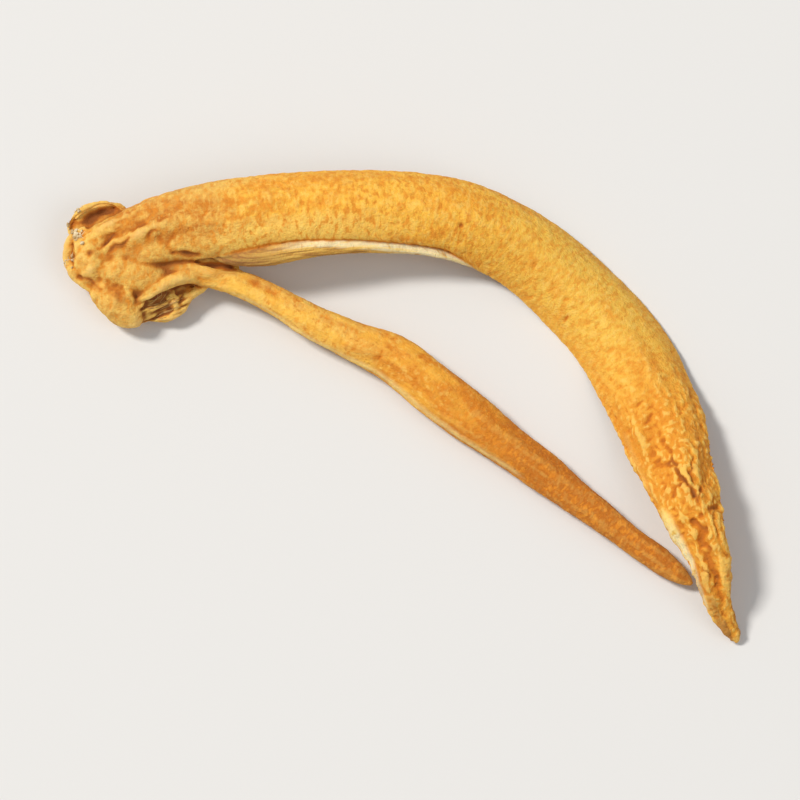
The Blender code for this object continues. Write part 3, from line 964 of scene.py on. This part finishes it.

# Finish
# The dried skin has no coating. It is amber, with a painted highlight on what stands proud and painted
# shade, rust to brown, in the pits and furrows, orange on the slender club, tan on the foot, and cream where
# the belly's lip shows.

AMBER_LIGHT = (0.94, 0.50, 0.06, 1.0)
AMBER = (0.86, 0.38, 0.035, 1.0)
ORANGE = (0.76, 0.27, 0.022, 1.0)
RUST = (0.56, 0.16, 0.010, 1.0)
BROWN = (0.22, 0.065, 0.014, 1.0)
CREAM = (0.88, 0.74, 0.42, 1.0)
TAN = (0.74, 0.42, 0.10, 1.0)
STRAW = (0.95, 0.64, 0.15, 1.0)
BUFF = (0.88, 0.60, 0.24, 1.0)
HIDE = (0.62, 0.32, 0.06, 1.0)
GOLD = (0.80, 0.53, 0.09, 1.0)
LINED = (0.28, 0.12, 0.04, 1.0)
UMBER = (0.36, 0.11, 0.018, 1.0)
FIBRE_LIGHT = (0.62, 0.36, 0.12, 1.0)
FIBRE_DARK = (0.36, 0.17, 0.05, 1.0)
CRUMB_LIGHT = (0.80, 0.66, 0.42, 1.0)
CRUMB_DARK = (0.52, 0.35, 0.16, 1.0)
# How deep the finest grain is in metres, on the skin and on the threads and crumbs
SKIN_BUMP = 0.00011
REMAINS_BUMP = 0.00005
TO_METRES = 0.001


def dry_skin():
    """Tough dried flesh. Each blend lays a colour over the last: where it shows, times how strongly."""
    finish = bpy.data.materials.new("dry skin")
    finish.use_nodes = True
    shader = finish.node_tree.nodes["Principled BSDF"]
    start = Field(finish.node_tree)

    def kept(name, output="Fac"):
        return start.node("ShaderNodeAttribute", {"attribute_name": name}, None, output)

    def blend(share, below, above):
        inputs = {"Factor": share, "A": below, "B": above}
        return start.node("ShaderNodeMix", {"data_type": "RGBA"}, inputs)

    grain = kept("grain", "Vector")
    proud, deep, pale, slender, foot = (kept(name) for name in ("proud", "deep", "pale", "slender", "foot"))
    pressed, pocket = kept("pressed"), kept("pocket")
    # Along runs in millimetres from the foot's end to the tip, across from the inner edge to the outer
    along = start.node("ShaderNodeSeparateXYZ", None, {"Vector": grain}, "X")
    across = start.node("ShaderNodeSeparateXYZ", None, {"Vector": grain}, "Y")
    tone = grain.stretched(7.0, 2.5, 2.5).cloud(2.0)
    patches = grain.stretched(2.2, 1.1, 1.1).cloud(3.0, 0.6)
    strokes = grain.stretched(0.7, 0.5, 0.5).cloud(2.0, 0.6)
    specks = grain.stretched(0.4, 0.36, 0.36).cloud(1.0)
    strips = grain.stretched(3.2, 0.6, 0.6).cloud(2.0, 0.6)
    fine = grain.stretched(0.16, 0.14, 0.14).cloud(3.0, 0.65)

    # Amber all over, golden round the bend, tan on the foot, and redder towards both tips
    outer = across.ease(-2.0, 1.5) * along.ease(34.0, 22.0)
    colour = blend((tone - outer * 0.12).ease(0.24, 0.52), AMBER, AMBER_LIGHT)
    orange = slender * (0.4 + along.ease(12.0, 32.0) * 0.5)
    orange = orange.maths("MAXIMUM", orange, along.ease(38.0, 50.0) * 0.5)
    colour = blend(orange, colour, ORANGE)
    bend = along.ease(28.0, 36.0) * along.ease(50.0, 42.0) * (1 - slender)
    colour = blend(bend * 0.5, colour, GOLD)
    colour = blend(foot * 0.7, colour, TAN)
    colour = blend((patches + outer * 0.08).ease(0.48, 0.75) * (1 - foot * 0.6) * 0.5, colour, ORANGE)
    colour = blend(along.ease(44.0, 58.0) * patches.ease(0.35, 0.7) * 0.5, colour, RUST)

    # Painted shade along the furrow by the root, the lighter rim above it, the club's edges, orange partly
    # from painted shade, the slender club's streak and the yellowed band over the lip
    root_shade = along.ease(1.0, 4.0) * along.ease(20.0, 9.0) * across.ease(-2.7, -1.6) * across.ease(1.6, 0.3)
    colour = blend(root_shade * strokes.ease(0.3, 0.65) * 0.85, colour, RUST)
    rim = along.ease(2.0, 5.0) * along.ease(17.0, 10.0) * across.ease(1.3, 2.3)
    colour = blend(rim * 0.5, colour, STRAW)
    # Both edges turn orange: partly their own colour, partly painted shade where the sides turn down
    edges = abs(across).ease(1.9, 3.1) * along.ease(24.0, 30.0) * (1 - slender)
    colour = blend(edges * 0.35, colour, ORANGE)
    streak = slender * across.ease(-5.0, -4.1) * along.ease(7.0, 10.0) * along.ease(26.0, 16.0)
    colour = blend(streak * strokes.ease(0.25, 0.6) * 0.9, colour, RUST)
    yellowed = along.ease(9.5, 11.0) * along.ease(26.0, 18.0) * across.ease(-0.8, -1.6)
    colour = blend(yellowed * 0.5, colour, STRAW)
    # The slender club's far half darkens to rust and then umber: partly its own colour, partly painted shade
    colour = blend(slender * along.ease(18.0, 38.0) * 0.85, colour, RUST)
    colour = blend(slender * along.ease(26.0, 44.0) * 0.35, colour, UMBER)
    colour = blend(foot * patches.ease(0.45, 0.65) * 0.3, colour, UMBER)

    # Small marks, places where the surface peeled, specks and strips
    marks = grain.stretched(0.34, 0.6, 0.6).cloud(1.5, 0.55, 0.3)
    peeled = (1 - slender * 0.7) * along.ease(52.0, 42.0) * 0.35
    colour = blend(marks.ease(0.5, 0.66) * (0.8 - foot * 0.15 - bend * 0.3), colour, ORANGE)
    colour = blend(marks.ease(0.48, 0.34) * peeled, colour, STRAW)
    colour = blend(specks.ease(0.58, 0.72) * (0.3 + slender * 0.3), colour, RUST)
    colour = blend(slender * strips.ease(0.5, 0.66) * 0.4, colour, RUST)
    colour = blend(slender * along.ease(38.0, 24.0) * patches.ease(0.56, 0.36) * 0.6, colour, AMBER_LIGHT)
    colour = blend(slender * specks.ease(0.46, 0.3) * along.ease(38.0, 24.0) * 0.4, colour, STRAW)
    colour = blend(fine.ease(0.5, 0.7) * 0.3, colour, ORANGE)

    # Painted highlight on what stands proud, and painted shade, darker step by step, in what lies low, in the
    # pocket and in the foot's deep hollows
    crest_highlight = (0.4 + along.ease(44.0, 52.0) * 0.15) * (1 - slender * 0.6)
    colour = blend(proud.ease(0.01, 0.045) * crest_highlight, colour, STRAW)
    colour = blend(proud.ease(0.0, -0.03) * 0.75, colour, ORANGE)
    colour = blend(proud.ease(-0.015, -0.06) * 0.75, colour, RUST)
    colour = blend(pocket * proud.ease(0.04, -0.04) * 0.75, colour, BROWN)
    colour = blend(foot * deep.ease(0.02, -0.2) * 0.7, colour, BROWN)
    colour = blend(proud.ease(-0.07, -0.15) * 0.7, colour, BROWN)

    # Painted shade in the pits and creases, from rust to umber to brown as they deepen
    pit_shade = pressed + strokes * 0.16 - 0.08
    colour = blend(pit_shade.ease(0.02, 0.12) * 0.7, colour, RUST)
    colour = blend(pit_shade.ease(0.08, 0.18) * 0.7, colour, UMBER)
    colour = blend(pit_shade.ease(0.16, 0.3) * 0.7, colour, BROWN)

    # The lip and other bleached edges: a cream crust over hide that is lined lengthwise
    lines = grain.stretched(3.0, 0.16, 0.16).cloud(2.0, 0.6)
    crust = (across + lines * 0.6 + along.ease(17.0, 23.0) * 0.3).ease(-2.47, -2.3) * along.ease(13.0, 17.5)
    crust = crust.maths("MAXIMUM", crust, slender + along.ease(38.0, 42.0))
    lip = blend(crust * strokes.ease(0.75, 0.55), HIDE, CREAM)
    lip = blend(lines.ease(0.52, 0.4) * 0.5, lip, STRAW)
    lip = blend(lines.ease(0.48, 0.6) * (1 - crust * 0.7) * 0.6, lip, LINED)
    lip = blend(along.ease(17.0, 11.0) * (1 - slender) * 0.6, lip, LINED)
    lip = blend(along.ease(40.0, 44.0) * along.ease(60.0, 56.0) * 0.8, lip, STRAW)
    lip = blend(slender * 0.5, lip, STRAW)
    colour = blend((pale + strokes * 0.3 - 0.15).ease(0.3, 0.9), colour, lip)

    # Painted highlight on the foot's ridges, the browned end of the tip, and the grain
    foot_ridge_highlight = foot * (1 - pale) * deep.ease(0.1, 0.3) * proud.ease(0.0, 0.04)
    colour = blend(foot_ridge_highlight * 0.4, colour, BUFF)
    colour = blend(along.ease(58.0, 66.0) * strips.ease(0.4, 0.6) * 0.7, colour, UMBER)
    height = strokes * 0.5 + fine
    bump = start.node("ShaderNodeBump", None, {"Height": height, "Distance": SKIN_BUMP, "Strength": 1.0})
    ends = {
        "Base Color": colour,
        "Roughness": 0.62 + fine * 0.25,
        "Normal": bump,
    }
    for name, value in ends.items():
        finish.node_tree.links.new(value.socket, shader.inputs[name])
    shader.inputs["Specular IOR Level"].default_value = 0.2
    shader.inputs["Subsurface Weight"].default_value = 0.08
    shader.inputs["Subsurface Radius"].default_value = (1.0, 0.4, 0.1)
    shader.inputs["Subsurface Scale"].default_value = 0.0006
    return finish


def bed_remains(name, light, dark):
    """Dry, matt fibre or crumb, mottled between two colours."""
    finish = bpy.data.materials.new(name)
    finish.use_nodes = True
    shader = finish.node_tree.nodes["Principled BSDF"]
    start = Field(finish.node_tree)
    place = start.node("ShaderNodeTexCoord", None, None, "Object")
    mottle = place.stretched(0.0005, 0.0005, 0.0005).cloud(2.0, 0.6)
    fine = place.stretched(0.00008, 0.00008, 0.00008).cloud(2.0)
    colour = start.node(
        "ShaderNodeMix", {"data_type": "RGBA"}, {"Factor": mottle.ease(0.35, 0.65), "A": dark, "B": light}
    )
    bump = start.node("ShaderNodeBump", None, {"Height": fine, "Distance": REMAINS_BUMP, "Strength": 1.0})
    ends = {"Base Color": colour, "Roughness": 0.8 + fine * 0.15, "Normal": bump}
    for end, value in ends.items():
        finish.node_tree.links.new(value.socket, shader.inputs[end])
    shader.inputs["Specular IOR Level"].default_value = 0.25
    return finish


finish = dry_skin()
fibre_finish = bed_remains("torn fibre", FIBRE_LIGHT, FIBRE_DARK)
crumb_finish = bed_remains("crumb", CRUMB_LIGHT, CRUMB_DARK)
for piece, node, slot, look in (
    (foot, "foot", "foot_skin", finish),
    (broad_club, "broad_club", "broad_skin", finish),
    (slender_club, "slender_club", "slender_skin", finish),
    (fibres, None, "foot_skin", fibre_finish),
    (crumb_bed, None, "foot_skin", crumb_finish),
):
    pick(piece)
    bpy.ops.object.mode_set(mode="EDIT")
    bpy.ops.mesh.select_all(action="SELECT")
    bpy.ops.transform.resize(value=(TO_METRES, TO_METRES, TO_METRES), center_override=(0, 0, 0))
    bpy.ops.object.mode_set(mode="OBJECT")
    bpy.ops.object.shade_smooth()
    piece.data.materials.clear()
    piece.data.materials.append(look)
    if node:
        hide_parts(node)
    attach(piece, "root")

# Stage
# A plain pale floor, a soft lamp from the left over the foot's end, a wider and weaker one from the
# right, a faint light all round, and a long lens that looks down on the piece as the photograph does.

deselect_all()
bpy.ops.mesh.primitive_plane_add(size=3.0, location=(0, 0, 0))
floor = bpy.context.object
floor.name = "floor"
paper = bpy.data.materials.new("paper")
paper.use_nodes = True
paper_shader = paper.node_tree.nodes["Principled BSDF"]
paper_shader.inputs["Base Color"].default_value = (0.70, 0.69, 0.67, 1.0)
paper_shader.inputs["Roughness"].default_value = 0.9
floor.data.materials.append(paper)


def lamp(name, place, size, power, colour):
    """A square lamp that faces the piece."""
    bpy.ops.object.light_add(type="AREA", location=place)
    light = bpy.context.object
    light.name = name
    light.data.size = size
    light.data.energy = power
    light.data.color = colour
    light.rotation_euler = (-Vector(place)).to_track_quat("-Z", "Y").to_euler()


lamp("key", (-1.05, 0.45, 1.45), 0.40, 30.5, (1.0, 0.97, 0.93))
lamp("fill", (1.00, -0.70, 1.30), 1.20, 6.5, (0.97, 0.98, 1.0))
world = bpy.data.worlds.new("room")
world.use_nodes = True
world.node_tree.nodes["Background"].inputs["Color"].default_value = (0.95, 0.97, 1.0, 1.0)
world.node_tree.nodes["Background"].inputs["Strength"].default_value = 0.4
bpy.context.scene.world = world
bpy.context.scene.view_settings.view_transform = "Standard"

CAMERA_RISE = math.radians(75)
CAMERA_AWAY = 0.315
camera = bpy.data.cameras.new("camera")
camera.lens = 200
camera.clip_start = 0.01
camera_object = bpy.data.objects.new("camera", camera)
bpy.context.scene.collection.objects.link(camera_object)
aim = Vector((-0.0002, 0.0, 0.002))
away = Vector((0, -math.cos(CAMERA_RISE), math.sin(CAMERA_RISE)))
camera_object.location = aim + away * CAMERA_AWAY
camera_object.rotation_euler = (-away).to_track_quat("-Z", "Y").to_euler()
bpy.context.scene.camera = camera_object
